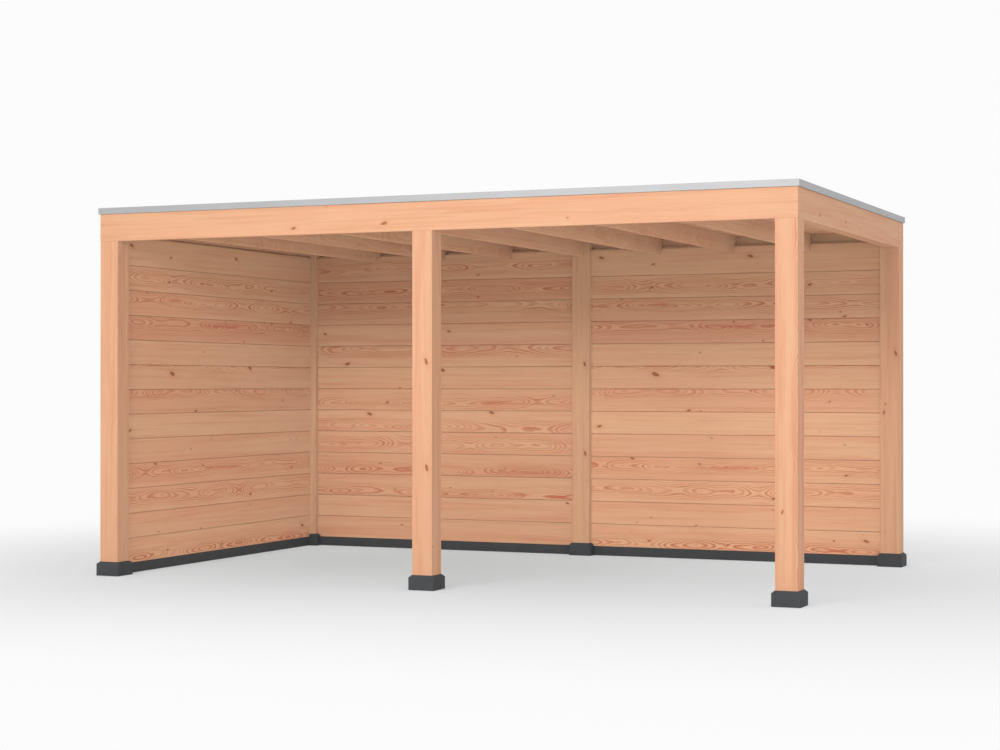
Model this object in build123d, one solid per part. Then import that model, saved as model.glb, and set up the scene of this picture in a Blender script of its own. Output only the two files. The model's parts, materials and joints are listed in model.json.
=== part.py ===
from build123d import *
import os

# A timber garden canopy, two bays long, with board walls on its left and back.
# Millimetres. X runs along the front, the front faces -Y and Z is up.
# The origin is on the ground, in the middle of the frame.

# Frame, measured over the outer faces of the posts
FRAME_LENGTH = 5080
FRAME_DEPTH = 3040
CLEAR_HEIGHT = 2375
POST_SIZE = 145

# Radius of the long edges of all planed timber
ARRIS = 3

# Concrete feet, wider than the posts all round, with a chamfered top edge
FOOT_MARGIN = 20
FOOT_HEIGHT = 99
FOOT_CHAMFER_HEIGHT = 16
FOOT_CHAMFER_WIDTH = 18
FOOT_CORNER_RADIUS = 5

# Concrete plinths under the walls
PLINTH_HEIGHT = 74
PLINTH_THICKNESS = 36

# Wall boards, laid on each other with their ends in grooves of the posts
BOARD_THICKNESS = 45
BOARD_COVER = 178.5
BOARD_BEVEL = 3
BOARD_END_GAP = 3
POST_GROOVE_DEPTH = 15

# The boards rise behind the ring boards, a little clear of them
WALL_LAP = 62
WALL_CLEARANCE = 5

# Ring boards round the heads of the posts
RING_THICKNESS = 45
RING_HEIGHT = 195

# Roof joists, which run from front to back between the posts
JOIST_WIDTH = 45
JOIST_HEIGHT = 125
JOIST_SPACING = 598

# Roof covering, sunk inside the ring
DECK_THICKNESS = 18
DECK_BOARD_COVER = 134
MEMBRANE_THICKNESS = 2
BATTEN_HEIGHT = 38

# Roof edge trim, an aluminium section that hangs clear of the ring boards
TRIM_THICKNESS = 2
TRIM_FACE_HEIGHT = 44
TRIM_OVERHANG = 10.5
TRIM_LIP_WIDTH = 7
TRIM_BEND = 1.2

# Outer faces of the frame
RIGHT = FRAME_LENGTH / 2
BACK = FRAME_DEPTH / 2
LEFT = -RIGHT
FRONT = -BACK

# Levels above the ground
RING_TOP = CLEAR_HEIGHT + RING_HEIGHT
WALL_TOP = CLEAR_HEIGHT + WALL_LAP
JOIST_TOP = CLEAR_HEIGHT + JOIST_HEIGHT
DECK_TOP = JOIST_TOP + DECK_THICKNESS
BATTEN_TOP = RING_TOP + BATTEN_HEIGHT
MEMBRANE_TOP = BATTEN_TOP + MEMBRANE_THICKNESS
TRIM_TOP = MEMBRANE_TOP + TRIM_THICKNESS

# Distances in from the outer faces of the frame
POST_CENTRE = POST_SIZE / 2
BOARD_OUTER = RING_THICKNESS + WALL_CLEARANCE
BOARD_CENTRE = BOARD_OUTER + BOARD_THICKNESS / 2
BOARD_INNER = BOARD_OUTER + BOARD_THICKNESS
FOOT_INNER = POST_SIZE + FOOT_MARGIN

FOOT_SIZE = POST_SIZE + 2 * FOOT_MARGIN
GROOVE_REACH = POST_GROOVE_DEPTH - BOARD_END_GAP

# Centre lines of the posts
POST_X = {"left": LEFT + POST_CENTRE, "middle": 0, "right": RIGHT - POST_CENTRE}
POST_Y = {"front": FRONT + POST_CENTRE, "back": BACK - POST_CENTRE}


def box_between(x_limits, y_limits, z_limits):
    """A box given by its two limits along each axis, in either order."""
    lows = [min(limits) for limits in (x_limits, y_limits, z_limits)]
    highs = [max(limits) for limits in (x_limits, y_limits, z_limits)]
    sizes = [high - low for low, high in zip(lows, highs)]
    return Pos(*lows) * Box(*sizes, align=(Align.MIN, Align.MIN, Align.MIN))


def planed(x_limits, y_limits, z_limits, along):
    """A planed timber: a box with its edges along one axis eased."""
    timber = box_between(x_limits, y_limits, z_limits)
    return fillet(timber.edges().filter_by(along), ARRIS)


def board_joints(rise, cover):
    """Heights of the joints between boards; the last board takes what is left."""
    return [cover * count for count in range(1, int(rise // cover))]


def board_face(depth, bevel_depth, rise, cover):
    """The face of laid boards in section, as points with a V at each joint."""
    points = [(depth, 0)]
    for joint in board_joints(rise, cover):
        points.append((depth, joint - BOARD_BEVEL))
        points.append((bevel_depth, joint))
        points.append((depth, joint + BOARD_BEVEL))
    points.append((depth, rise))
    return points


# Concrete


def foot(row, column):
    """A square foot with rounded corners and a top edge that slopes in to the post."""
    top_size = FOOT_SIZE - 2 * FOOT_CHAMFER_WIDTH
    shoulder = FOOT_HEIGHT - FOOT_CHAMFER_HEIGHT
    base = RectangleRounded(FOOT_SIZE, FOOT_SIZE, FOOT_CORNER_RADIUS)
    top = RectangleRounded(top_size, top_size, FOOT_CORNER_RADIUS)
    block = extrude(base, shoulder)
    block += loft([Pos(0, 0, shoulder) * base, Pos(0, 0, FOOT_HEIGHT) * top])
    return Pos(POST_X[column], POST_Y[row], 0) * block


def plinth_left():
    """The plinth under the left wall, between two feet."""
    centre = LEFT + BOARD_CENTRE
    across = (centre - PLINTH_THICKNESS / 2, centre + PLINTH_THICKNESS / 2)
    along = (FRONT + FOOT_INNER, BACK - FOOT_INNER)
    return box_between(across, along, (0, PLINTH_HEIGHT))


def plinth_back(side):
    """The plinth under one bay of the back wall; side is -1 for left, 1 for right."""
    centre = BACK - BOARD_CENTRE
    across = (centre - PLINTH_THICKNESS / 2, centre + PLINTH_THICKNESS / 2)
    along = (side * FOOT_SIZE / 2, side * (RIGHT - FOOT_INNER))
    return box_between(along, across, (0, PLINTH_HEIGHT))


# Posts


def post(row, column):
    """A post with its head cut back behind the ring boards and grooves for the walls."""
    x = POST_X[column]
    y = POST_Y[row]
    half = POST_SIZE / 2
    sides = ((x - half, x + half), (y - half, y + half))
    timber = planed(*sides, (FOOT_HEIGHT, JOIST_TOP), Axis.Z)
    timber -= head_rebate()
    for groove in wall_grooves(row, column):
        timber -= groove
    return timber


def head_rebate():
    """What the ring boards take away from the outer sides of the post heads."""
    inner_x = RIGHT - RING_THICKNESS
    inner_y = BACK - RING_THICKNESS
    outside = box_between((LEFT, RIGHT), (FRONT, BACK), (CLEAR_HEIGHT, RING_TOP))
    return outside - box_between((-inner_x, inner_x), (-inner_y, inner_y), (CLEAR_HEIGHT, RING_TOP))


def wall_grooves(row, column):
    """The grooves in a post that hold the ends of the wall boards beside it."""
    x = POST_X[column]
    y = POST_Y[row]
    half = POST_SIZE / 2
    rise = (FOOT_HEIGHT, WALL_TOP)
    grooves = []
    if column == "left":
        inward = 1 if row == "front" else -1
        face = y + inward * half
        across = (LEFT + BOARD_OUTER, LEFT + BOARD_INNER)
        grooves.append(box_between(across, (face, face - inward * POST_GROOVE_DEPTH), rise))
    if row == "back":
        across = (BACK - BOARD_OUTER, BACK - BOARD_INNER)
        for side in sides_with_back_wall(column):
            face = x + side * half
            grooves.append(box_between((face, face - side * POST_GROOVE_DEPTH), across, rise))
    return grooves


def sides_with_back_wall(column):
    """The sides of a back post that a bay of the back wall meets."""
    return {"left": [1], "middle": [-1, 1], "right": [-1]}[column]


# Walls


def board_wall(clear_length):
    """Boards laid up into a wall along X, with a V joint between each two boards.

    The wall reaches into the grooves of the posts beyond the clear length.
    """
    length = clear_length + 2 * GROOVE_REACH
    rise = WALL_TOP - PLINTH_HEIGHT
    face = BOARD_THICKNESS / 2
    inner = board_face(-face, -face + BOARD_BEVEL, rise, BOARD_COVER)
    outer = board_face(face, face - BOARD_BEVEL, rise, BOARD_COVER)
    section = make_face(Polyline(*inner, *reversed(outer), close=True))
    wall = extrude(Plane.YZ * section, length)
    return Pos(-length / 2, 0, PLINTH_HEIGHT) * wall


def wall_left():
    """The left wall, cut round the feet at its lower corners."""
    clear_length = FRAME_DEPTH - 2 * POST_SIZE
    wall = Pos(LEFT + BOARD_CENTRE, 0, 0) * Rot(0, 0, 90) * board_wall(clear_length)
    return wall - foot("front", "left") - foot("back", "left")


def wall_back(side):
    """One bay of the back wall, cut round the feet at its lower corners."""
    clear_length = RIGHT - POST_SIZE - POST_SIZE / 2
    centre = side * (POST_SIZE / 2 + clear_length / 2)
    wall = Pos(centre, BACK - BOARD_CENTRE, 0) * board_wall(clear_length)
    corner = "left" if side < 0 else "right"
    return wall - foot("back", "middle") - foot("back", corner)


# Ring boards


def ring_board_long(side):
    """The front or back ring board, which laps over the ends of the short ones."""
    face = side * BACK
    depth = (face, face - side * RING_THICKNESS)
    return planed((LEFT, RIGHT), depth, (CLEAR_HEIGHT, RING_TOP), Axis.X)


def ring_board_short(side):
    """The left or right ring board."""
    face = side * RIGHT
    width = (face, face - side * RING_THICKNESS)
    length = (FRONT + RING_THICKNESS, BACK - RING_THICKNESS)
    return planed(width, length, (CLEAR_HEIGHT, RING_TOP), Axis.Y)


# Joists


def bay_joist_places():
    """X places of the joists in the right bay, set out from the middle of the bay."""
    bay_length = RIGHT - POST_SIZE - POST_SIZE / 2
    bay_centre = POST_SIZE / 2 + bay_length / 2
    count = int(bay_length // JOIST_SPACING)
    first = bay_centre - JOIST_SPACING * (count - 1) / 2
    return [first + JOIST_SPACING * index for index in range(count)]


def bay_joist(x):
    """A joist between the ring boards, notched over the boards of the back wall."""
    width = (x - JOIST_WIDTH / 2, x + JOIST_WIDTH / 2)
    length = (FRONT + RING_THICKNESS, BACK - RING_THICKNESS)
    timber = planed(width, length, (CLEAR_HEIGHT, JOIST_TOP), Axis.Y)
    notch = (BACK - BOARD_INNER, BACK - RING_THICKNESS)
    return timber - box_between(width, notch, (CLEAR_HEIGHT, WALL_TOP))


def middle_joist():
    """The joist between the two middle posts."""
    width = (-JOIST_WIDTH / 2, JOIST_WIDTH / 2)
    length = (FRONT + POST_SIZE, BACK - POST_SIZE)
    return planed(width, length, (CLEAR_HEIGHT, JOIST_TOP), Axis.Y)


def edge_joist(side, underside):
    """A joist along the inner face of a short ring board."""
    face = side * (RIGHT - RING_THICKNESS)
    width = (face, face - side * JOIST_WIDTH)
    length = (FRONT + POST_SIZE, BACK - POST_SIZE)
    return planed(width, length, (underside, JOIST_TOP), Axis.Y)


# Roof covering


def roof_deck():
    """The boards on the joists, inside the ring, with V joints to the room below."""
    inner_x = RIGHT - RING_THICKNESS
    inner_y = BACK - RING_THICKNESS
    underside = board_face(0, BOARD_BEVEL, 2 * inner_y, DECK_BOARD_COVER)
    outline = [(y - inner_y, JOIST_TOP + rise) for rise, y in underside]
    outline += [(inner_y, DECK_TOP), (-inner_y, DECK_TOP)]
    section = make_face(Polyline(*outline, close=True))
    return Pos(-inner_x, 0, 0) * extrude(Plane.YZ * section, 2 * inner_x)


def roof_membrane():
    """The sealing sheet, laid on the deck, turned up and laid over the edge battens."""
    inner_x = RIGHT - RING_THICKNESS
    inner_y = BACK - RING_THICKNESS
    tray = box_between((-inner_x, inner_x), (-inner_y, inner_y), (DECK_TOP, MEMBRANE_TOP))
    lap = box_between((LEFT, RIGHT), (FRONT, BACK), (BATTEN_TOP, MEMBRANE_TOP))
    hollow_x = inner_x - MEMBRANE_THICKNESS
    hollow_y = inner_y - MEMBRANE_THICKNESS
    floor = DECK_TOP + MEMBRANE_THICKNESS
    hollow = box_between((-hollow_x, hollow_x), (-hollow_y, hollow_y), (floor, MEMBRANE_TOP))
    return tray + lap - hollow


def roof_batten_long(side):
    """The batten on the front or back ring board."""
    face = side * BACK
    depth = (face, face - side * RING_THICKNESS)
    return box_between((LEFT, RIGHT), depth, (RING_TOP, BATTEN_TOP))


def roof_batten_short(side):
    """The batten on the left or right ring board."""
    face = side * RIGHT
    width = (face, face - side * RING_THICKNESS)
    length = (FRONT + RING_THICKNESS, BACK - RING_THICKNESS)
    return box_between(width, length, (RING_TOP, BATTEN_TOP))


def roof_trim(side_length, distance, turn):
    """One side of the roof edge trim, mitred at both ends.

    It is drawn along the front, at a distance from the origin, and turned about Z.
    """
    outer = TRIM_OVERHANG
    inside = TRIM_OVERHANG - TRIM_THICKNESS
    lip = TRIM_OVERHANG - TRIM_LIP_WIDTH
    flange = -RING_THICKNESS
    foot_level = TRIM_TOP - TRIM_FACE_HEIGHT
    lip_top = foot_level + TRIM_THICKNESS
    outline = [
        (flange, MEMBRANE_TOP),
        (inside, MEMBRANE_TOP),
        (inside, lip_top),
        (lip, lip_top),
        (lip, foot_level),
        (outer, foot_level),
        (outer, TRIM_TOP),
        (flange, TRIM_TOP),
    ]
    section = make_face(Polyline(*[(-distance - out, z) for out, z in outline], close=True))
    folds = section.vertices().group_by(Axis.X)[0]
    section = fillet(folds, TRIM_BEND)
    half = side_length / 2
    bar = Pos(-half - outer, 0, 0) * extrude(Plane.YZ * section, side_length + 2 * outer)
    plan = make_face(
        Polyline(
            (-half - outer, -distance - outer),
            (half + outer, -distance - outer),
            (half - RING_THICKNESS, -distance + RING_THICKNESS),
            (-half + RING_THICKNESS, -distance + RING_THICKNESS),
            close=True,
        )
    )
    mitre = extrude(Pos(0, 0, foot_level) * plan, TRIM_FACE_HEIGHT)
    return Rot(0, 0, turn) * (bar & mitre)


def pieces():
    """Every piece of the canopy with its name."""
    made = {}
    for row in POST_Y:
        for column in POST_X:
            made[f"foot_{row}_{column}"] = foot(row, column)
            made[f"post_{row}_{column}"] = post(row, column)
    made["plinth_left"] = plinth_left()
    made["plinth_back_left"] = plinth_back(-1)
    made["plinth_back_right"] = plinth_back(1)
    made["wall_left"] = wall_left()
    made["wall_back_left"] = wall_back(-1)
    made["wall_back_right"] = wall_back(1)
    made["ring_board_front"] = ring_board_long(-1)
    made["ring_board_back"] = ring_board_long(1)
    made["ring_board_left"] = ring_board_short(-1)
    made["ring_board_right"] = ring_board_short(1)
    made["joist_middle"] = middle_joist()
    for number, x in enumerate(bay_joist_places(), start=1):
        made[f"joist_right_bay_{number}"] = bay_joist(x)
        made[f"joist_left_bay_{number}"] = bay_joist(-x)
    made["edge_joist_left"] = edge_joist(-1, WALL_TOP)
    made["edge_joist_right"] = edge_joist(1, CLEAR_HEIGHT)
    made["roof_deck"] = roof_deck()
    made["roof_membrane"] = roof_membrane()
    made["roof_batten_front"] = roof_batten_long(-1)
    made["roof_batten_back"] = roof_batten_long(1)
    made["roof_batten_left"] = roof_batten_short(-1)
    made["roof_batten_right"] = roof_batten_short(1)
    made["roof_trim_front"] = roof_trim(FRAME_LENGTH, BACK, 0)
    made["roof_trim_right"] = roof_trim(FRAME_DEPTH, RIGHT, 90)
    made["roof_trim_back"] = roof_trim(FRAME_LENGTH, BACK, 180)
    made["roof_trim_left"] = roof_trim(FRAME_DEPTH, RIGHT, 270)
    return made


os.makedirs("parts", exist_ok=True)
for name, shape in pieces().items():
    export_step(shape, f"parts/{name}.step")
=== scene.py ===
import json
import math
import random

import bpy
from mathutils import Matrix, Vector

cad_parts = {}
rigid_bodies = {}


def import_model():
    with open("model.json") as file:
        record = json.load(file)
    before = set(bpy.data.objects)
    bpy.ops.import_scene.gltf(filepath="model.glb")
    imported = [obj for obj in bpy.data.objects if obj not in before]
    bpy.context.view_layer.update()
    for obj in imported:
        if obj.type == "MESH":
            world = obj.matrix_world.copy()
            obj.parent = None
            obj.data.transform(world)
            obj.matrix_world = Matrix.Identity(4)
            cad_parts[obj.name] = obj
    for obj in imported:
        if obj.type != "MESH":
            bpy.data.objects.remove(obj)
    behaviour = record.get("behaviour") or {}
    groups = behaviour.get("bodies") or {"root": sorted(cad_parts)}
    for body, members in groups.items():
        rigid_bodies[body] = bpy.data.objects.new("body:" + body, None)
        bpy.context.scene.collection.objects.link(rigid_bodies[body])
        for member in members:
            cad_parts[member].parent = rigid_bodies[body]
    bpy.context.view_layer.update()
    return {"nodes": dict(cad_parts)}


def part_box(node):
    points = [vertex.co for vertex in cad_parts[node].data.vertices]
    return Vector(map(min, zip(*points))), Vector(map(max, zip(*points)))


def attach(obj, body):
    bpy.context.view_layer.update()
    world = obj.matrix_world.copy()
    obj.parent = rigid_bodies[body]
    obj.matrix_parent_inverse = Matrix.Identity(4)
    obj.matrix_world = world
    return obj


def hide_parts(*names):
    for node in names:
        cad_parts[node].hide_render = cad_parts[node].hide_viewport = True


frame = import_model()

# Metres. X runs along the front of the canopy, the front faces -Y and Z is up.

# Wall boards, laid on each other between the posts with tongue and groove
BOARD_COVER = 0.1785
BOARD_BEVEL = 0.003
BOARD_SHOULDER_GAP = 0.002
TONGUE_THICKNESS = 0.012
TONGUE_HEIGHT = 0.010
TONGUE_PLAY = 0.0006
TONGUE_ROUNDING = 0.0015
BOARD_LAY_PLAY = 0.0004

# Roof boards, nailed on the joists. The end joint moves on by some joists from row to row.
ROOF_BOARD_COVER = 0.134
ROOF_BOARD_BEVEL = 0.003
ROOF_BOARD_GAP = 0.001
ROOF_JOINT_STEP = 3

# A face looks straight up or down when its normal is steeper than this
STEEP = 0.9
# Points that lie nearer together than this are one point
MERGE_DISTANCE = 0.00005

# The camera of the photograph
CAMERA_PLACE = (5.6576, -13.2341, 1.3618)
CAMERA_TURN = (90.26, 0.0, 23.51)
CAMERA_LENS = 70.88
CAMERA_SENSOR = 36.0
CAMERA_REACH = 300.0

# Light. Each softbox has its place, its size and its power.
SKY_STRENGTH = 0.42
SOFTBOX_AIM = (0.0, 0.0, 1.2)
SOFTBOXES = {
    "key": ((0.0, -11.0, 5.0), (8.0, 2.5), 510.0),
    "corner_fill": ((6.0, -10.0, 2.8), (4.0, 2.5), 90.0),
    "side_fill": ((12.0, 0.5, 1.8), (5.0, 2.5), 120.0),
    "back_fill": ((-2.0, 11.0, 5.0), (12.0, 2.5), 260.0),
}
BACKGROUND_GREY = 252

# The floor is darkest at one place under the roof and pales towards the background, sooner on
# the left of that place than on the right
FLOOR_SIZE = 160.0
FLOOR_WHITE = 0.95
SHADE_PLACE = (-1.2, 0.3)
SHADE_PACE_RIGHT = 0.7
SHADE_PACE_LEFT = 1.3
SHADE_REACH = 7.6
SHADE_LEAST_SHARE = 0.14

# The two makes of wall, in boards from the bottom course up. Each row holds three things:
# where the pith lies across the board and before it (metres from the board's middle);
# how pink, how light and how strongly figured the board is, where how light also holds painted
# light in the first make; and the board's larger knots.
# A knot is how far along it is, as a share of the room between the posts, then its height
# above the board's lower edge and its radius, in metres. A fourth thing, where there is one,
# is a red streak: how far along its middle is, its height, and half its length as a share.
# In the first make the lower courses are lighter, most of all at the bottom: painted light, for
# the brighter light that falls low on the wall.
FIRST_MAKE = [
    ((-0.056, 0.060), (0.0, 1.6, 1.0),
     [(0.95, 0.105, 0.009), (0.21, 0.056, 0.006), (0.485, 0.045, 0.005)]),
    ((0.330, 0.140), (0.4, 1.5, 0.6),
     [(0.64, 0.145, 0.003), (0.375, 0.008, 0.004), (0.165, 0.020, 0.003)]),
    ((0.011, 0.058), (0.2, 1.8, 1.1), [(0.643, 0.052, 0.007)]),
    ((0.015, 0.050), (0.3, 1.6, 1.1),
     [(0.15, 0.165, 0.007), (0.387, 0.129, 0.005), (0.885, 0.060, 0.006)],
     (0.50, 0.104, 0.10)),
    ((-0.380, 0.150), (-0.2, 1.1, 0.5), [(0.43, 0.154, 0.003), (0.88, 0.113, 0.003)]),
    ((-0.290, 0.130), (-0.6, 1.0, 0.5), [(0.03, 0.059, 0.008)]),
    ((0.070, 0.075), (0.5, 0.6, 0.9),
     [(0.35, 0.010, 0.007), (0.83, 0.082, 0.004), (0.565, 0.164, 0.004)]),
    ((0.110, 0.070), (-0.4, 0.3, 0.8), [(0.232, 0.114, 0.013), (0.64, 0.165, 0.010)]),
    ((0.420, 0.160), (-0.1, 0.4, 0.5), [(0.39, 0.105, 0.003)]),
    ((0.038, 0.055), (0.4, 0.0, 1.0),
     [(0.765, 0.168, 0.006), (0.607, 0.014, 0.004), (0.953, 0.127, 0.004), (0.507, 0.160, 0.004)],
     (0.49, 0.127, 0.12)),
    ((0.030, 0.052), (0.3, 0.1, 1.0),
     [(0.88, 0.012, 0.006), (0.11, 0.170, 0.004)],
     (0.25, 0.128, 0.035)),
    ((0.002, 0.060), (0.2, 0.0, 1.0), [(0.218, 0.082, 0.007), (0.765, 0.080, 0.007)]),
    ((0.310, 0.120), (0.2, 0.1, 0.6),
     [(0.038, 0.147, 0.009), (0.564, 0.130, 0.009), (0.225, 0.086, 0.006)]),
]
SECOND_MAKE = [
    ((-0.220, 0.090), (0.2, 0.1, 0.8), [(0.34, 0.120, 0.004)]),
    ((0.290, 0.120), (0.3, 0.1, 0.6), [(0.975, 0.155, 0.006)]),
    ((-0.055, 0.055), (0.2, 0.1, 1.0),
     [(0.53, 0.081, 0.003), (0.312, 0.050, 0.004), (0.693, 0.057, 0.003)],
     (0.80, 0.031, 0.035)),
    ((-0.049, 0.052), (0.4, 0.0, 1.0), [(0.253, 0.092, 0.004)], (0.83, 0.040, 0.12)),
    ((-0.012, 0.070), (-0.1, 0.4, 0.8), [(0.706, 0.139, 0.003)]),
    ((-0.052, 0.060), (-0.3, 0.3, 0.9), [(0.21, 0.145, 0.010), (0.69, 0.162, 0.009)]),
    ((-0.026, 0.052), (0.4, 0.0, 1.0), [(0.281, 0.063, 0.006)], (0.71, 0.063, 0.06)),
    ((0.250, 0.090), (-0.2, 0.2, 0.7), [(0.498, 0.153, 0.011), (0.331, 0.006, 0.004)]),
    ((0.054, 0.060), (0.1, 0.3, 1.0), [(0.121, 0.028, 0.010), (0.787, 0.081, 0.003)]),
    ((-0.300, 0.110), (0.3, 0.1, 0.6), [(0.028, 0.103, 0.006), (0.524, 0.113, 0.007)]),
    ((0.057, 0.062), (0.2, 0.1, 1.0), []),
    ((0.003, 0.055), (0.3, 0.0, 1.0), [(0.508, 0.166, 0.003), (0.637, 0.034, 0.004)]),
    ((0.013, 0.058), (0.2, 0.1, 1.0), [(0.637, 0.036, 0.004)]),
]
# Boards of one wall differ a little more in tone than their rows say, and each has a seed. Walls
# of the same make and seed have the same boards.
BOARD_TONE_PLAY = 0.1
COURSE_SEED_STEP = 1.37
FIRST_MAKE_SEED = 11
SECOND_MAKE_SEED = 23
ROOF_BOARDS_SEED = 41
TIMBERS_SEED = 7

# Knots of the square timbers: how far along the timber and across its broad side from the
# middle, and the radius, in metres
TIMBER_KNOTS = {
    "post_front_middle": [(0.21, 0.030, 0.009), (-0.49, 0.034, 0.009)],
    "post_front_right": [(-0.72, -0.026, 0.005)],
    "post_back_middle": [(0.22, 0.036, 0.008), (-0.49, 0.040, 0.008)],
    "post_back_right": [(0.29, 0.046, 0.008), (-0.15, -0.042, 0.006)],
    "ring_board_front": [(-0.97, -0.053, 0.007), (-0.28, -0.040, 0.009)],
    "ring_board_right": [(-0.98, -0.041, 0.006), (-0.29, -0.033, 0.006)],
}

# How larch grows and is cut. A stretch is how quickly a pattern changes along the grain, across
# the board and through it.
GRAIN_ORDER = {"X": (0, 2, 1), "Y": (1, 2, 0), "Z": (2, 0, 1)}
MOST_SEED = 90
SEED_SHIFT = (3.7, 1.3, 2.1)
PITH_STRETCH = (2.0, 1.2, 1.2)
PITH_SWAY = 0.05
PITH_DIP = 0.17
RING_WIDTH = 0.0095
RING_STRETCH = (2.6, 11.0, 11.0)
RING_WOBBLE = 0.013
RING_JAG_STRETCH = (14.0, 34.0, 34.0)
RING_JAG = 0.0055
FLAT_SAWN_FROM = 0.095
FLAT_SAWN_TO = 0.030
FIBRE_STRETCH = (9.0, 420.0, 420.0)
FIBRE_SWING = 0.14
FAINT_STREAK_STRETCH = (1.1, 48.0, 48.0)
RED_STREAK_HALF_HEIGHT = 0.013
RED_STREAK_WANDER = 2.5
KNOT_NAMES = ("Knot 1", "Knot 2", "Knot 3", "Knot 4")
KNOT_FLATTENING = 0.5
KNOT_SLANT = 0.45
KNOT_RAG_STRETCH = (160.0, 160.0, 160.0)
KNOT_RAG = 0.7
KNOT_HALO = 2.4
KNOT_LIFT = 1.6
NO_KNOT = 0.00001
PIN_KNOT_CELLS = 8.0
PIN_KNOT_RADIUS = 0.006


# Colours and nodes


def paint(red, green, blue):
    """A colour given in the steps of a colour chart, as the light it stands for."""
    light = []
    for step in (red, green, blue):
        value = step / 255
        light.append(value / 12.92 if value <= 0.04045 else ((value + 0.055) / 1.055) ** 2.4)
    return (*light, 1.0)


def feed(tree, socket, value):
    """Give a socket its value, or link it where the value comes from another node."""
    if isinstance(value, bpy.types.NodeSocket):
        tree.links.new(value, socket)
    else:
        socket.default_value = value


def add_node(tree, kind, settings=None, inputs=None):
    """A new node with its settings and inputs."""
    node = tree.nodes.new(kind)
    for name, value in (settings or {}).items():
        setattr(node, name, value)
    for name, value in (inputs or {}).items():
        feed(tree, node.inputs[name], value)
    return node


def calc(tree, operation, *values):
    """The result of a sum on one to three numbers."""
    node = add_node(tree, "ShaderNodeMath", {"operation": operation})
    for socket, value in zip(node.inputs, values):
        feed(tree, socket, value)
    return node.outputs[0]


def calc_vector(tree, operation, *values):
    """The result of a sum on vectors."""
    node = add_node(tree, "ShaderNodeVectorMath", {"operation": operation})
    for socket, value in zip(node.inputs, values):
        feed(tree, socket, value)
    return node.outputs[0]


def split(tree, vector):
    """The three numbers of a vector."""
    return add_node(tree, "ShaderNodeSeparateXYZ", inputs={"Vector": vector}).outputs


def join(tree, x, y, z):
    """A vector of three numbers."""
    return add_node(tree, "ShaderNodeCombineXYZ", inputs={"X": x, "Y": y, "Z": z}).outputs[0]


def noise(tree, vector, stretch, detail):
    """Soft noise over stretched coordinates, as its colour, whose channels differ."""
    stretched = calc_vector(tree, "MULTIPLY", vector, stretch)
    inputs = {"Vector": stretched, "Scale": 1.0, "Detail": detail}
    return add_node(tree, "ShaderNodeTexNoise", inputs=inputs).outputs["Color"]


def pattern(tree, vector, stretch, detail):
    """Soft noise over stretched coordinates, as one number between 0 and 1."""
    return split(tree, noise(tree, vector, stretch, detail))[0]


def fade(tree, value, start, end, low=0.0, high=1.0):
    """A smooth step from low to high as the value goes from start to end."""
    settings = {"interpolation_type": "SMOOTHSTEP"}
    inputs = {"Value": value, "From Min": start, "From Max": end, "To Min": low, "To Max": high}
    return add_node(tree, "ShaderNodeMapRange", settings, inputs).outputs["Result"]


def mix(tree, share, first, second, how="MIX"):
    """Two colours mixed, or laid over each other by another rule."""
    node = add_node(tree, "ShaderNodeMix", {"data_type": "RGBA", "blend_type": how})
    colour_inputs = [socket for socket in node.inputs if socket.type == "RGBA"]
    feed(tree, node.inputs[0], share)
    feed(tree, colour_inputs[0], first)
    feed(tree, colour_inputs[1], second)
    return next(socket for socket in node.outputs if socket.type == "RGBA")


def centred(tree, value, amount):
    """Noise between 0 and 1 turned into a swing of that amount about zero."""
    return calc(tree, "MULTIPLY", calc(tree, "SUBTRACT", value, 0.5), amount)


def plain_finish(name):
    """A new material, its nodes, its shader, and places on the piece in metres."""
    material = bpy.data.materials.new(name)
    material.use_nodes = True
    tree = material.node_tree
    place = add_node(tree, "ShaderNodeTexCoord").outputs["Object"]
    return material, tree, tree.nodes["Principled BSDF"], place


def coat(tree, surface, colour, roughness, height, strength, distance):
    """Give a shader its colour, its roughness and its fine relief."""
    inputs = {"Height": height, "Strength": strength, "Distance": distance}
    relief = add_node(tree, "ShaderNodeBump", inputs=inputs).outputs["Normal"]
    feed(tree, surface.inputs["Base Color"], colour)
    feed(tree, surface.inputs["Roughness"], roughness)
    feed(tree, surface.inputs["Normal"], relief)


# Timber


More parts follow.
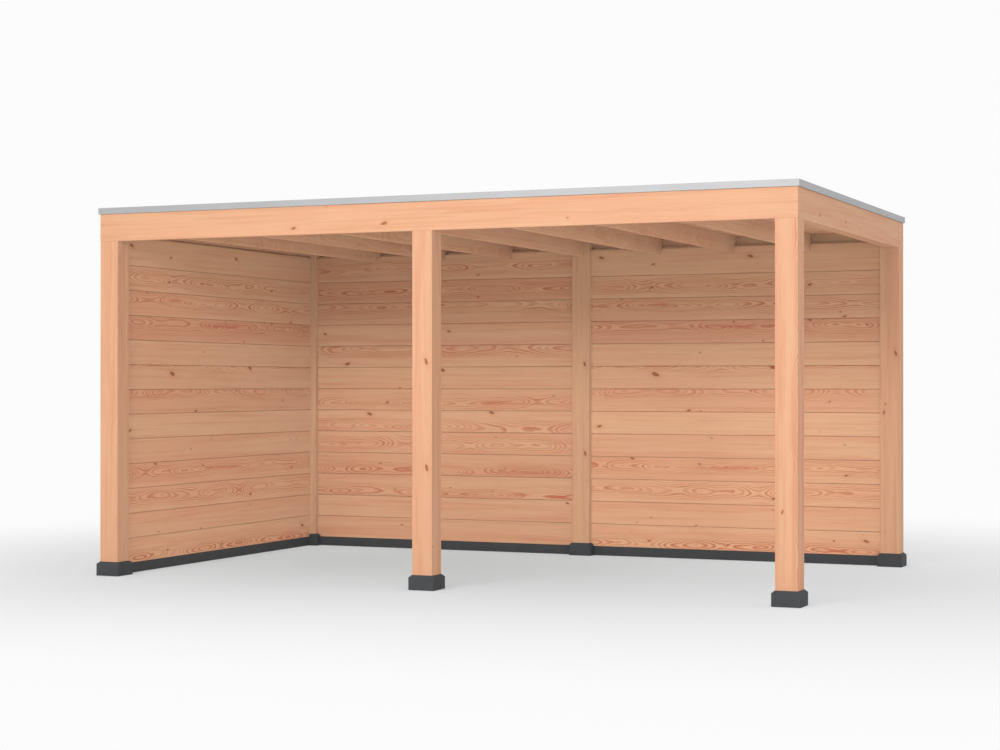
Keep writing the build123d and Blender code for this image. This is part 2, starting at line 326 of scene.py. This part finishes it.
def timber_group():
    """Larch, as rings about a pith that wanders behind the board, with knots.

    Place is along the grain, across the board and through it, from the board's middle.
    Cut is where the pith lies across and behind the board, and a seed.
    Tone is how pink, how light and how strongly figured the timber is; on first-make wall
    boards, how light also holds painted light.
    Each knot is where it sits along and across the board, and its radius.
    Streak is where a red streak lies along and across the board, and half its length.
    """
    tree = bpy.data.node_groups.new("larch", "ShaderNodeTree")
    for name in ("Place", "Cut", "Tone", "Streak", *KNOT_NAMES):
        tree.interface.new_socket(name, in_out="INPUT", socket_type="NodeSocketVector")
    for name, kind in (("Colour", "Color"), ("Roughness", "Float"), ("Height", "Float")):
        tree.interface.new_socket(name, in_out="OUTPUT", socket_type=f"NodeSocket{kind}")
    entry = tree.nodes.new("NodeGroupInput").outputs
    along, across, _ = split(tree, entry["Place"])
    pink, light, figure = split(tree, entry["Tone"])
    seed = split(tree, entry["Cut"])[2]
    place = seeded(tree, entry["Place"], seed)
    side, radius = from_pith(tree, entry, place)
    core, rim, halo, lift = knots(tree, entry, along, across, place)
    late, patch = rings(tree, place, calc(tree, "ADD", radius, lift), seed)

    years = (calc(tree, "MULTIPLY", along, 0.35), calc(tree, "MULTIPLY", radius, 17.0), seed)
    zone = pattern(tree, join(tree, *years), (1.0, 1.0, 1.9), 1.0)
    colour = early_wood(tree, place, zone, pink, patch)
    strength = figure_strength(tree, late, figure, side, patch)
    colour = mix(tree, strength, colour, LATE_WOOD)
    red = red_streak(tree, entry["Streak"], along, across, patch)
    colour = mix(tree, calc(tree, "MULTIPLY", red, 0.75), colour, RED_HEART)
    colour = mix(tree, calc(tree, "MULTIPLY", halo, 0.30), colour, LATE_WOOD)
    colour = mix(tree, core, colour, KNOT_CORE)
    colour = mix(tree, rim, colour, KNOT_RIM)
    fibre = pattern(tree, place, FIBRE_STRETCH, 2.0)
    swing = centred(tree, fibre, FIBRE_SWING)
    # How light the tone is scales the colour; on first-make wall boards this holds painted light.
    shade = calc(tree, "ADD", calc(tree, "MULTIPLY_ADD", light, 0.06, 0.985), swing)

    leave = tree.nodes.new("NodeGroupOutput").inputs
    shaded = mix(tree, 1.0, colour, join(tree, shade, shade, shade), "MULTIPLY")
    feed(tree, leave["Colour"], shaded)
    rough = calc(tree, "ADD", calc(tree, "MULTIPLY_ADD", late, -0.10, 0.62), swing)
    feed(tree, leave["Roughness"], rough)
    feed(tree, leave["Height"], fibre)
    return tree


def seeded(tree, place, seed):
    """The place, shifted by the seed, so that each seed has its own grain."""
    shift = calc_vector(tree, "SCALE", SEED_SHIFT)
    feed(tree, shift.node.inputs["Scale"], seed)
    return calc_vector(tree, "ADD", place, shift)


def from_pith(tree, entry, place):
    """How far the timber is from its wandering pith: across the board, and in all."""
    _, across, through = split(tree, entry["Place"])
    pith_across, pith_depth, _ = split(tree, entry["Cut"])
    sway, dip, _ = split(tree, noise(tree, place, PITH_STRETCH, 1.0))
    side = calc(tree, "SUBTRACT", across, pith_across)
    side = calc(tree, "ADD", side, centred(tree, sway, PITH_SWAY))
    depth = calc(tree, "ADD", through, pith_depth)
    dip = calc(tree, "MULTIPLY", centred(tree, dip, PITH_DIP), calc(tree, "SIGN", pith_depth))
    depth = calc(tree, "ADD", depth, dip)
    side_squared = calc(tree, "MULTIPLY", side, side)
    return side, calc(tree, "SQRT", calc(tree, "MULTIPLY_ADD", depth, depth, side_squared))


def early_wood(tree, place, zone, pink, patch):
    """The colour between the rings' dark lines, with zones, patches and faint streaks."""
    streaks = pattern(tree, place, FAINT_STREAK_STRETCH, 2.0)
    colour = mix(tree, fade(tree, zone, 0.38, 0.68, 0.1, 0.6), SAPWOOD, HEARTWOOD)
    colour = mix(tree, fade(tree, pink, 0.0, 1.0, 0.0, 0.6), colour, HEARTWOOD)
    colour = mix(tree, fade(tree, pink, 0.0, -1.0, 0.0, 0.7), colour, SAPWOOD)
    colour = mix(tree, fade(tree, patch, 0.50, 0.78, 0.0, 0.30), colour, HEARTWOOD)
    return mix(tree, fade(tree, streaks, 0.45, 0.75, 0.0, 0.24), colour, LATE_WOOD)


def figure_strength(tree, late, figure, side, patch):
    """How strongly the late wood shows: most where the board lies flat to the rings."""
    reach = calc(tree, "ABSOLUTE", side)
    flat_sawn = fade(tree, reach, FLAT_SAWN_FROM, FLAT_SAWN_TO, 0.22, 1.0)
    broken = fade(tree, patch, 0.30, 0.55, 0.55, 1.0)
    strength = calc(tree, "MULTIPLY", calc(tree, "MULTIPLY", late, figure), flat_sawn)
    return calc(tree, "MULTIPLY", calc(tree, "MULTIPLY", strength, broken), 0.95)


def red_streak(tree, streak, along, across, patch):
    """How red the timber is for a long streak of red heart."""
    at_along, at_across, half_length = split(tree, streak)
    end = calc(tree, "DIVIDE", calc(tree, "SUBTRACT", along, at_along), half_length)
    side = calc(tree, "SUBTRACT", across, at_across)
    side = calc(tree, "DIVIDE", side, RED_STREAK_HALF_HEIGHT)
    side = calc(tree, "ADD", side, centred(tree, patch, RED_STREAK_WANDER))
    squared = calc(tree, "MULTIPLY_ADD", end, end, calc(tree, "MULTIPLY", side, side))
    red = calc(tree, "EXPONENT", calc(tree, "MULTIPLY", squared, -1.0))
    return calc(tree, "MULTIPLY", red, calc(tree, "GREATER_THAN", half_length, 0.0))


def knots(tree, entry, along, across, place):
    """The knots of a board: their core, dark rim, halo and how they lift the rings."""
    ragged = centred(tree, pattern(tree, place, KNOT_RAG_STRETCH, 1.0), KNOT_RAG)
    found = [pin_knots(tree, place)]
    found += [large_knot(tree, entry[name], along, across) for name in KNOT_NAMES]
    cores, rims, halos, lifts = [], [], [], []
    for distance, size in found:
        size = calc(tree, "MAXIMUM", size, NO_KNOT)
        ratio = calc(tree, "ADD", calc(tree, "DIVIDE", distance, size), ragged)
        cores.append(fade(tree, ratio, 1.15, 0.75))
        rim = calc(tree, "MULTIPLY", fade(tree, ratio, 0.5, 0.85), fade(tree, ratio, 1.3, 0.95))
        rims.append(calc(tree, "MULTIPLY", rim, 0.75))
        shrink = calc(tree, "DIVIDE", ratio, KNOT_HALO)
        fall = calc(tree, "MULTIPLY", calc(tree, "MULTIPLY", shrink, shrink), -1.0)
        halos.append(calc(tree, "EXPONENT", fall))
        lift = calc(tree, "MULTIPLY", halos[-1], size)
        lifts.append(calc(tree, "MULTIPLY", lift, KNOT_LIFT))
    return [strongest(tree, values) for values in (cores, rims, halos, lifts)]


def large_knot(tree, knot, along, across):
    """How far the timber is from a long and slanting knot, and the knot's radius."""
    at_along, at_across, size = split(tree, knot)
    from_along = calc(tree, "SUBTRACT", along, at_along)
    from_along = calc(tree, "MULTIPLY", from_along, KNOT_FLATTENING)
    from_across = calc(tree, "SUBTRACT", across, at_across)
    slant = calc(tree, "MULTIPLY", calc(tree, "SIGN", at_across), KNOT_SLANT)
    from_across = calc(tree, "MULTIPLY_ADD", from_along, slant, from_across)
    squared = calc(tree, "MULTIPLY", from_along, from_along)
    squared = calc(tree, "MULTIPLY_ADD", from_across, from_across, squared)
    return calc(tree, "SQRT", squared), size


def pin_knots(tree, place):
    """A few small knots scattered in the timber: how far the nearest is, and its radius."""
    settings = {"voronoi_dimensions": "3D", "feature": "F1"}
    inputs = {"Vector": place, "Scale": PIN_KNOT_CELLS, "Randomness": 1.0}
    cells = add_node(tree, "ShaderNodeTexVoronoi", settings, inputs).outputs
    gap = calc_vector(tree, "SUBTRACT", place, cells["Position"])
    distance = calc_vector(tree, "LENGTH", gap).node.outputs["Value"]
    draw = split(tree, cells["Color"])[0]
    return distance, fade(tree, draw, 0.65, 1.0, 0.0, PIN_KNOT_RADIUS)


def strongest(tree, values):
    """The largest of some values."""
    largest = values[0]
    for value in values[1:]:
        largest = calc(tree, "MAXIMUM", largest, value)
    return largest


def rings(tree, place, radius, seed):
    """How dark the late wood of each ring is, and a slow change of tone."""
    wobble, patch, _ = split(tree, noise(tree, place, RING_STRETCH, 3.0))
    jagged = pattern(tree, place, RING_JAG_STRETCH, 2.0)
    wobbling = calc(tree, "ADD", radius, centred(tree, wobble, RING_WOBBLE))
    wobbling = calc(tree, "ADD", wobbling, centred(tree, jagged, RING_JAG))
    ring = calc(tree, "DIVIDE", wobbling, RING_WIDTH)
    within = calc(tree, "FRACT", ring)
    rise = fade(tree, within, 0.25, 0.86)
    fall = fade(tree, within, 1.0, 0.88)
    year = calc(tree, "MULTIPLY_ADD", seed, 7.7, calc(tree, "FLOOR", ring))
    luck = add_node(tree, "ShaderNodeTexWhiteNoise", {"noise_dimensions": "1D"}, {"W": year})
    growth = fade(tree, luck.outputs["Value"], 0.1, 1.0, 0.45, 1.15)
    late = calc(tree, "MULTIPLY", calc(tree, "MULTIPLY", rise, fall), growth)
    return late, patch


def timber(name, grain, facts):
    """A larch finish with the grain along one axis.

    Each fact, such as the middle of the piece, its cut, its tone or a knot, is a vector,
    or the name of the attribute of the piece that holds it.
    """
    material, tree, surface, ground = plain_finish(name)
    values = {fact: fact_socket(tree, value) for fact, value in facts.items()}
    own = split(tree, calc_vector(tree, "SUBTRACT", ground, values.pop("Middle")))
    larch = add_node(tree, "ShaderNodeGroup", {"node_tree": LARCH}, values)
    feed(tree, larch.inputs["Place"], join(tree, *[own[axis] for axis in GRAIN_ORDER[grain]]))
    made = larch.outputs
    thrown = add_node(tree, "ShaderNodeLightPath").outputs["Is Diffuse Ray"]
    colour = mix(tree, thrown, made["Colour"], THROWN_LIGHT)
    coat(tree, surface, colour, made["Roughness"], made["Height"], 0.35, 0.0004)
    surface.inputs["Specular IOR Level"].default_value = 0.3
    return material


def fact_socket(tree, value):
    """Where a fact of a timber is read from."""
    if isinstance(value, str):
        attribute = add_node(tree, "ShaderNodeAttribute", {"attribute_name": value})
        return attribute.outputs["Vector"]
    return join(tree, *value)


SAPWOOD = paint(248, 193, 151)
HEARTWOOD = paint(242, 171, 134)
LATE_WOOD = paint(214, 124, 86)
RED_HEART = paint(222, 126, 96)
KNOT_CORE = paint(190, 116, 78)
KNOT_RIM = paint(160, 90, 58)
# Timber throws neutral light on its neighbours, which keeps the inside of the room pale
THROWN_LIGHT = paint(225, 225, 224)
ROOF_BOARD_FACTS = {"Middle": "middle", "Cut": "cut", "Tone": "tone"}
BOARD_FACTS = ROOF_BOARD_FACTS | {name: name for name in ("Streak", *KNOT_NAMES)}
LARCH = timber_group()


# Other finishes


def anthracite_concrete():
    """Cast concrete, coloured dark grey through and through, with sand and small air holes."""
    material, tree, surface, place = plain_finish("anthracite concrete")
    cloud = pattern(tree, place, (9.0, 9.0, 9.0), 4.0)
    sand, grit, _ = split(tree, noise(tree, place, (420.0, 420.0, 420.0), 2.0))
    cell_inputs = {"Vector": place, "Scale": 70.0, "Randomness": 1.0}
    cells = add_node(tree, "ShaderNodeTexVoronoi", inputs=cell_inputs).outputs
    width = fade(tree, split(tree, cells["Color"])[0], 0.6, 1.0, 0.0, 0.16)
    hole = calc(tree, "LESS_THAN", cells["Distance"], width)
    colour = mix(tree, cloud, paint(63, 64, 66), paint(84, 85, 87))
    colour = mix(tree, fade(tree, sand, 0.56, 0.72, 0.0, 0.35), colour, paint(118, 118, 118))
    # The air holes are painted near black: painted shade inside the holes, which the relief also
    # sinks.
    colour = mix(tree, calc(tree, "MULTIPLY", hole, 0.7), colour, paint(30, 30, 31))
    height = calc(tree, "MULTIPLY_ADD", grit, 0.3, calc(tree, "MULTIPLY", hole, -1.0))
    coat(tree, surface, colour, fade(tree, cloud, 0.2, 0.8, 0.78, 0.93), height, 0.6, 0.0012)
    surface.inputs["Specular IOR Level"].default_value = 0.35
    return material


def satin_aluminium(name, stretch):
    """Extruded aluminium with fine lines along its length."""
    material, tree, surface, place = plain_finish(name)
    line = pattern(tree, place, stretch, 2.0)
    cloud = pattern(tree, place, (2.0, 2.0, 2.0), 2.0)
    colour = mix(tree, line, paint(168, 169, 170), paint(186, 186, 187))
    colour = mix(tree, fade(tree, cloud, 0.35, 0.7, 0.0, 0.25), colour, paint(160, 161, 162))
    coat(tree, surface, colour, fade(tree, line, 0.2, 0.8, 0.46, 0.58), line, 0.15, 0.0002)
    surface.inputs["Metallic"].default_value = 0.35
    return material


def roofing_rubber():
    """Black rubber sheet with a fine grain, a little dust and shallow waves."""
    material, tree, surface, place = plain_finish("roofing rubber")
    dust = pattern(tree, place, (1.6, 1.6, 1.6), 5.0)
    grain = pattern(tree, place, (600.0, 600.0, 600.0), 1.0)
    wave = pattern(tree, place, (3.0, 5.0, 3.0), 2.0)
    colour = mix(tree, fade(tree, dust, 0.35, 0.75), paint(44, 45, 47), paint(66, 66, 66))
    height = calc(tree, "MULTIPLY_ADD", wave, 1.5, calc(tree, "MULTIPLY", grain, 0.2))
    coat(tree, surface, colour, fade(tree, dust, 0.3, 0.8, 0.74, 0.88), height, 0.5, 0.001)
    return material


# Modelling helpers


def deselect_all():
    """Leave nothing selected."""
    for item in bpy.context.view_layer.objects:
        item.select_set(False)


def pick(piece):
    """Make the piece the only one selected, and the active one."""
    deselect_all()
    piece.select_set(True)
    bpy.context.view_layer.objects.active = piece


def select_faces(piece, test):
    """In edit mode, select only the faces whose normal passes the test."""
    bpy.ops.mesh.select_mode(type="FACE")
    bpy.ops.mesh.select_all(action="DESELECT")
    bpy.ops.object.mode_set(mode="OBJECT")
    for face in piece.data.polygons:
        face.select = test(face.normal)
    bpy.ops.object.mode_set(mode="EDIT")


def select_edges(piece, test):
    """In edit mode, select only the edges whose two ends pass the test."""
    bpy.ops.mesh.select_mode(type="EDGE")
    bpy.ops.mesh.select_all(action="DESELECT")
    bpy.ops.object.mode_set(mode="OBJECT")
    points = [vertex.co for vertex in piece.data.vertices]
    for edge in piece.data.edges:
        edge.select = test(*[points[index] for index in edge.vertices])
    bpy.ops.object.mode_set(mode="EDIT")


def edit_all(piece):
    """Go into edit mode on the piece, with all of it selected."""
    pick(piece)
    bpy.ops.object.mode_set(mode="EDIT")
    bpy.ops.mesh.select_all(action="SELECT")


def new_block(name, size):
    """A block about the origin, in edit mode, for shaping."""
    deselect_all()
    bpy.ops.mesh.primitive_cube_add(size=1.0, location=(0, 0, 0))
    block = bpy.context.view_layer.objects.active
    block.name = name
    block.data.name = name
    edit_all(block)
    bpy.ops.transform.resize(value=size)
    return block


def copy_of(piece, name):
    """A copy with its own mesh."""
    copy = piece.copy()
    copy.data = piece.data.copy()
    copy.name = name
    bpy.context.scene.collection.objects.link(copy)
    return copy


def move(piece, shift):
    """Move the mesh, so that the object itself stays at the origin."""
    edit_all(piece)
    bpy.ops.transform.translate(value=shift)
    bpy.ops.object.mode_set(mode="OBJECT")


def turn(piece, degrees):
    """Turn the mesh about the upright axis through the origin."""
    edit_all(piece)
    angle = -math.radians(degrees)
    bpy.ops.transform.rotate(value=angle, orient_axis="Z", center_override=(0, 0, 0))
    bpy.ops.object.mode_set(mode="OBJECT")


def join_pieces(name, members):
    """Join the members into one piece with that name."""
    deselect_all()
    for member in members:
        member.select_set(True)
    bpy.context.view_layer.objects.active = members[0]
    bpy.ops.object.join()
    joined = bpy.context.view_layer.objects.active
    joined.name = name
    joined.data.name = name
    return joined


def note(piece, name, value):
    """Give every point of the piece an attribute with the same vector."""
    attribute = piece.data.attributes.new(name, "FLOAT_VECTOR", "POINT")
    attribute.data.foreach_set("vector", list(value) * len(piece.data.vertices))


def dress(piece, material):
    """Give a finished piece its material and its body."""
    piece.data.materials.clear()
    piece.data.materials.append(material)
    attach(piece, "root")


# Walls


def wall_board(length, thickness, height):
    """One wall board along X, standing on z = 0, with bevelled edges, a tongue and a groove."""
    body_height = height - BOARD_SHOULDER_GAP
    board = new_block("board", (length, thickness, body_height))
    bpy.ops.transform.translate(value=(0, 0, body_height / 2))

    def runs_along(first, second):
        return abs(first.x - second.x) > length / 2

    def is_tongue_edge(first, second):
        return min(first.z, second.z) > body_height and runs_along(first, second)

    select_edges(board, runs_along)
    bpy.ops.mesh.bevel(offset=BOARD_BEVEL, offset_type="OFFSET", segments=1)
    shoulder = (thickness - 2 * BOARD_BEVEL - TONGUE_THICKNESS) / 2
    select_faces(board, lambda normal: normal.z > STEEP)
    bpy.ops.mesh.inset(thickness=shoulder + TONGUE_PLAY / 2)
    bpy.ops.mesh.extrude_region_move(TRANSFORM_OT_translate={"value": (0, 0, TONGUE_HEIGHT)})
    select_edges(board, is_tongue_edge)
    bpy.ops.mesh.bevel(offset=TONGUE_ROUNDING, offset_type="OFFSET", segments=2)
    select_faces(board, lambda normal: normal.z < -STEEP)
    bpy.ops.mesh.inset(thickness=shoulder - TONGUE_PLAY / 2)
    groove_depth = TONGUE_HEIGHT + 2 * TONGUE_PLAY
    bpy.ops.mesh.extrude_region_move(TRANSFORM_OT_translate={"value": (0, 0, groove_depth)})
    bpy.ops.object.mode_set(mode="OBJECT")
    return board


def cut_round_feet(board, feet):
    """Cut a board round the feet that it meets."""
    for foot in feet:
        cutter = copy_of(frame["nodes"][foot], "cutter")
        edit_all(cutter)
        bpy.ops.mesh.remove_doubles(threshold=MERGE_DISTANCE)
        bpy.ops.object.mode_set(mode="OBJECT")
        pick(board)
        cut = board.modifiers.new("foot", "BOOLEAN")
        cut.operation = "DIFFERENCE"
        cut.solver = "EXACT"
        cut.object = cutter
        bpy.ops.object.modifier_apply(modifier=cut.name)
        bpy.data.objects.remove(cutter)


def lay_wall(node, corners, make, seed):
    """Lay up one wall of boards in the place of its solid, between two corners of the frame."""
    low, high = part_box(node)
    size = high - low
    middle = (low + high) / 2
    along, through = (0, 1) if size.x > size.y else (1, 0)
    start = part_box("post_" + corners[0])[1][along]
    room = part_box("post_" + corners[1])[0][along] - start
    plain = wall_board(size[along], size[through], BOARD_COVER)
    top_height = size.z - BOARD_COVER * (len(make) - 1) - TONGUE_HEIGHT
    top = wall_board(size[along], size[through], top_height)
    chance = random.Random(seed)
    boards = []
    for course, facts in enumerate(make):
        board = copy_of(top if course == len(make) - 1 else plain, f"{node}_board")
        if along == 1:
            turn(board, 90)
        place = Vector((middle.x, middle.y, low.z + BOARD_COVER * course))
        place[through] += chance.uniform(-BOARD_LAY_PLAY, BOARD_LAY_PLAY)
        move(board, place)
        if course == 0:
            cut_round_feet(board, ["foot_" + corner for corner in corners])
        place.z += BOARD_COVER / 2
        note(board, "middle", place)
        pith_side = 1 if along == 0 else -1
        note_growth(board, facts, pith_side, seed + course * COURSE_SEED_STEP, chance)
        note_marks(board, facts, start - place[along], room)
        boards.append(board)
    bpy.data.objects.remove(plain)
    bpy.data.objects.remove(top)
    wall = join_pieces(f"{node}_boards", boards)
    title = f"larch boards of {node}".replace("_", " ")
    dress(wall, timber(title, "XY"[along], BOARD_FACTS))
    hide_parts(node)


def note_growth(board, facts, pith_side, seed, chance):
    """Note on a board how it was cut from the trunk, and its tone, which on first-make boards
    holds painted light.
    """
    pith, tone = facts[:2]
    note(board, "cut", (pith[0], pith[1] * pith_side, seed))
    wander = chance.uniform(-BOARD_TONE_PLAY, BOARD_TONE_PLAY)
    note(board, "tone", (tone[0] + wander, tone[1] - wander, tone[2]))


def note_marks(board, facts, start, room):
    """Note on a board where its knots and its red streak are, from the board's middle."""
    found, streaks = facts[2], facts[3:]
    missing = [(0, 0, 0)] * (len(KNOT_NAMES) - len(found))
    for name, (share, height, radius) in zip(KNOT_NAMES, found + missing):
        note(board, name, (start + room * share, height - BOARD_COVER / 2, radius))
    share, height, half_share = streaks[0] if streaks else (0, 0, 0)
    streak = (start + room * share, height - BOARD_COVER / 2, room * half_share)
    note(board, "Streak", streak)


# Roof boards


def roof_board(length, thickness):
    """One roof board along X, with its top on z = 0 and bevelled lower edges."""
    width = ROOF_BOARD_COVER - ROOF_BOARD_GAP
    board = new_block("roof board", (length - ROOF_BOARD_GAP, width, thickness))
    bpy.ops.transform.translate(value=(0, 0, -thickness / 2))

    def is_long_lower_edge(first, second):
        return max(first.z, second.z) < -thickness / 2 and first.y == second.y

    select_edges(board, is_long_lower_edge)
    bpy.ops.mesh.bevel(offset=ROOF_BOARD_BEVEL, offset_type="OFFSET", segments=1)
    bpy.ops.object.mode_set(mode="OBJECT")
    return board


def joist_middles():
    """Where boards may be joined end to end: over the middle of a joist."""
    boxes = [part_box(name) for name in frame["nodes"] if name.startswith("joist_")]
    return sorted((low.x + high.x) / 2 for low, high in boxes)


def lay_roof():
    """Board the roof, with the end joints over the joists and staggered from row to row."""
    low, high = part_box("roof_deck")
    joists = joist_middles()
    rows = round((high.y - low.y) / ROOF_BOARD_COVER)
    cover = (high.y - low.y) / rows
    chance = random.Random(ROOF_BOARDS_SEED)
    boards = []
    for row in range(rows):
        joint = joists[(row * ROOF_JOINT_STEP + 1) % len(joists)]
        for start, end in ((low.x, joint), (joint, high.x)):
            board = roof_board(end - start, high.z - low.z)
            middle = Vector(((start + end) / 2, low.y + cover * (row + 0.5), high.z))
            move(board, middle)
            note(board, "middle", middle)
            note(board, "cut", draw_cut(chance, (-0.25, 0.25), (0.03, 0.12)))
            note(board, "tone", (chance.uniform(-0.7, 0.7), chance.uniform(-0.6, 0.5), 0.9))
            boards.append(board)
    deck = join_pieces("roof_boards", boards)
    dress(deck, timber("larch roof boards", "X", ROOF_BOARD_FACTS))
    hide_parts("roof_deck")


def draw_cut(chance, across, depth):
    """Where the pith lies across and behind a timber, within limits, and a seed, by chance."""
    return chance.uniform(*across), chance.uniform(*depth), chance.uniform(0, MOST_SEED)


# Finishes of the solid pieces


def cover_node(node, material):
    """Give a solid its finish, in every material slot that it has."""
    for slot in frame["nodes"][node].material_slots:
        slot.material = material


def grain_of(node):
    """The axis along which a timber is longest."""
    low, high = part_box(node)
    size = high - low
    return "XYZ"[max(range(3), key=lambda axis: size[axis])]


def cover_timbers():
    """Give each post, ring board, joist and batten its own piece of larch."""
    chance = random.Random(TIMBERS_SEED)
    for node in sorted(frame["nodes"]):
        if not node.startswith(("post_", "ring_board_", "joist_", "edge_joist_", "roof_batten_")):
            continue
        low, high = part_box(node)
        cut = draw_cut(chance, (0.12, 0.30), (0.12, 0.22))
        tone = (chance.uniform(-0.1, 0.3), chance.uniform(-1.1, -0.7), 0.8)
        if "joist" in node:
            cut = draw_cut(chance, (-0.12, 0.12), (0.15, 0.20))
            tone = (chance.uniform(0.0, 0.4), -0.4, 0.30)
        facts = {"Middle": (low + high) / 2, "Cut": cut, "Tone": tone}
        facts |= dict(zip(KNOT_NAMES, TIMBER_KNOTS.get(node, [])))
        title = "larch of " + node.replace("_", " ")
        cover_node(node, timber(title, grain_of(node), facts))


def cover_others():
    """Give the feet, the plinths, the trim and the sheet their finishes."""
    concrete = anthracite_concrete()
    trim_along_x = satin_aluminium("satin aluminium, long sides", (1.5, 900.0, 900.0))
    trim_along_y = satin_aluminium("satin aluminium, short sides", (900.0, 1.5, 900.0))
    for node in frame["nodes"]:
        if node.startswith(("foot_", "plinth_")):
            cover_node(node, concrete)
        elif node in ("roof_trim_front", "roof_trim_back"):
            cover_node(node, trim_along_x)
        elif node.startswith("roof_trim_"):
            cover_node(node, trim_along_y)
    cover_node("roof_membrane", roofing_rubber())


# Stage


def flat_grey(step):
    """A grey of the colour chart, as the light it stands for."""
    return paint(step, step, step)


def seen_share(tree):
    """1 for what the camera sees, also by way of metal or glass, and 0 for light on the object."""
    path = add_node(tree, "ShaderNodeLightPath").outputs
    seen = calc(tree, "MAXIMUM", path["Is Camera Ray"], path["Is Glossy Ray"])
    return calc(tree, "MAXIMUM", seen, path["Is Transmission Ray"])


def floor_share(tree, place):
    """How much of the background shows in the floor: least in the shade of the roof."""
    x, y, _ = split(tree, place)
    shade_x, shade_y = SHADE_PLACE
    right = calc(tree, "MULTIPLY_ADD", x, SHADE_PACE_RIGHT, -SHADE_PACE_RIGHT * shade_x)
    left = calc(tree, "MULTIPLY_ADD", x, -SHADE_PACE_LEFT, SHADE_PACE_LEFT * shade_x)
    sideways = calc(tree, "MAXIMUM", right, left)
    flat = join(tree, sideways, calc(tree, "SUBTRACT", y, shade_y), 0.0)
    reach = calc_vector(tree, "LENGTH", flat).node.outputs["Value"]
    share = fade(tree, reach, 0.0, SHADE_REACH, SHADE_LEAST_SHARE, 1.0)
    return calc(tree, "MULTIPLY", share, seen_share(tree))


def studio_floor():
    """A pale floor that shows the shadow and fades into the background."""
    deselect_all()
    bpy.ops.mesh.primitive_plane_add(size=FLOOR_SIZE, location=(0, 0, 0))
    floor = bpy.context.view_layer.objects.active
    floor.name = "studio_floor"
    material, tree, surface, place = plain_finish("studio floor")
    tree.nodes.remove(surface)
    white = (FLOOR_WHITE, FLOOR_WHITE, FLOOR_WHITE, 1.0)
    near = add_node(tree, "ShaderNodeBsdfDiffuse", inputs={"Color": white})
    far = add_node(tree, "ShaderNodeEmission", inputs={"Color": flat_grey(BACKGROUND_GREY)})
    blend_inputs = {0: floor_share(tree, place), 1: near.outputs[0], 2: far.outputs[0]}
    blend = add_node(tree, "ShaderNodeMixShader", inputs=blend_inputs)
    feed(tree, tree.nodes["Material Output"].inputs["Surface"], blend.outputs[0])
    floor.data.materials.append(material)


def sky():
    """Even light from all round, behind a background that the camera sees as near white."""
    world = bpy.data.worlds.new("sky")
    bpy.context.scene.world = world
    world.use_nodes = True
    tree = world.node_tree
    tree.nodes.clear()
    light_inputs = {"Color": (1.0, 1.0, 1.0, 1.0), "Strength": SKY_STRENGTH}
    light = add_node(tree, "ShaderNodeBackground", inputs=light_inputs)
    shown = add_node(tree, "ShaderNodeBackground", inputs={"Color": flat_grey(BACKGROUND_GREY)})
    blend_inputs = {0: seen_share(tree), 1: light.outputs[0], 2: shown.outputs[0]}
    blend = add_node(tree, "ShaderNodeMixShader", inputs=blend_inputs)
    output = add_node(tree, "ShaderNodeOutputWorld")
    feed(tree, output.inputs["Surface"], blend.outputs[0])


def softbox(name, place, size, power):
    """A large soft lamp that points at the canopy."""
    lamp = bpy.data.lights.new(name, "AREA")
    lamp.shape = "RECTANGLE"
    lamp.size, lamp.size_y = size
    lamp.energy = power
    holder = bpy.data.objects.new(name, lamp)
    holder.location = place
    direction = Vector(SOFTBOX_AIM) - Vector(place)
    holder.rotation_euler = direction.to_track_quat("-Z", "Y").to_euler()
    bpy.context.scene.collection.objects.link(holder)


def camera():
    """The camera, where the photograph was taken from."""
    view = bpy.data.cameras.new("camera")
    view.lens = CAMERA_LENS
    view.sensor_width = CAMERA_SENSOR
    view.clip_end = CAMERA_REACH
    holder = bpy.data.objects.new("camera", view)
    holder.location = CAMERA_PLACE
    holder.rotation_euler = [math.radians(angle) for angle in CAMERA_TURN]
    bpy.context.scene.collection.objects.link(holder)
    bpy.context.scene.camera = holder


camera()
sky()
for name, facts in SOFTBOXES.items():
    softbox(name, *facts)
studio_floor()
bpy.context.scene.view_settings.view_transform = "Standard"

cover_timbers()
cover_others()
lay_wall("wall_left", ("front_left", "back_left"), FIRST_MAKE, FIRST_MAKE_SEED)
lay_wall("wall_back_left", ("back_left", "back_middle"), SECOND_MAKE, SECOND_MAKE_SEED)
lay_wall("wall_back_right", ("back_middle", "back_right"), FIRST_MAKE, FIRST_MAKE_SEED)
lay_roof()
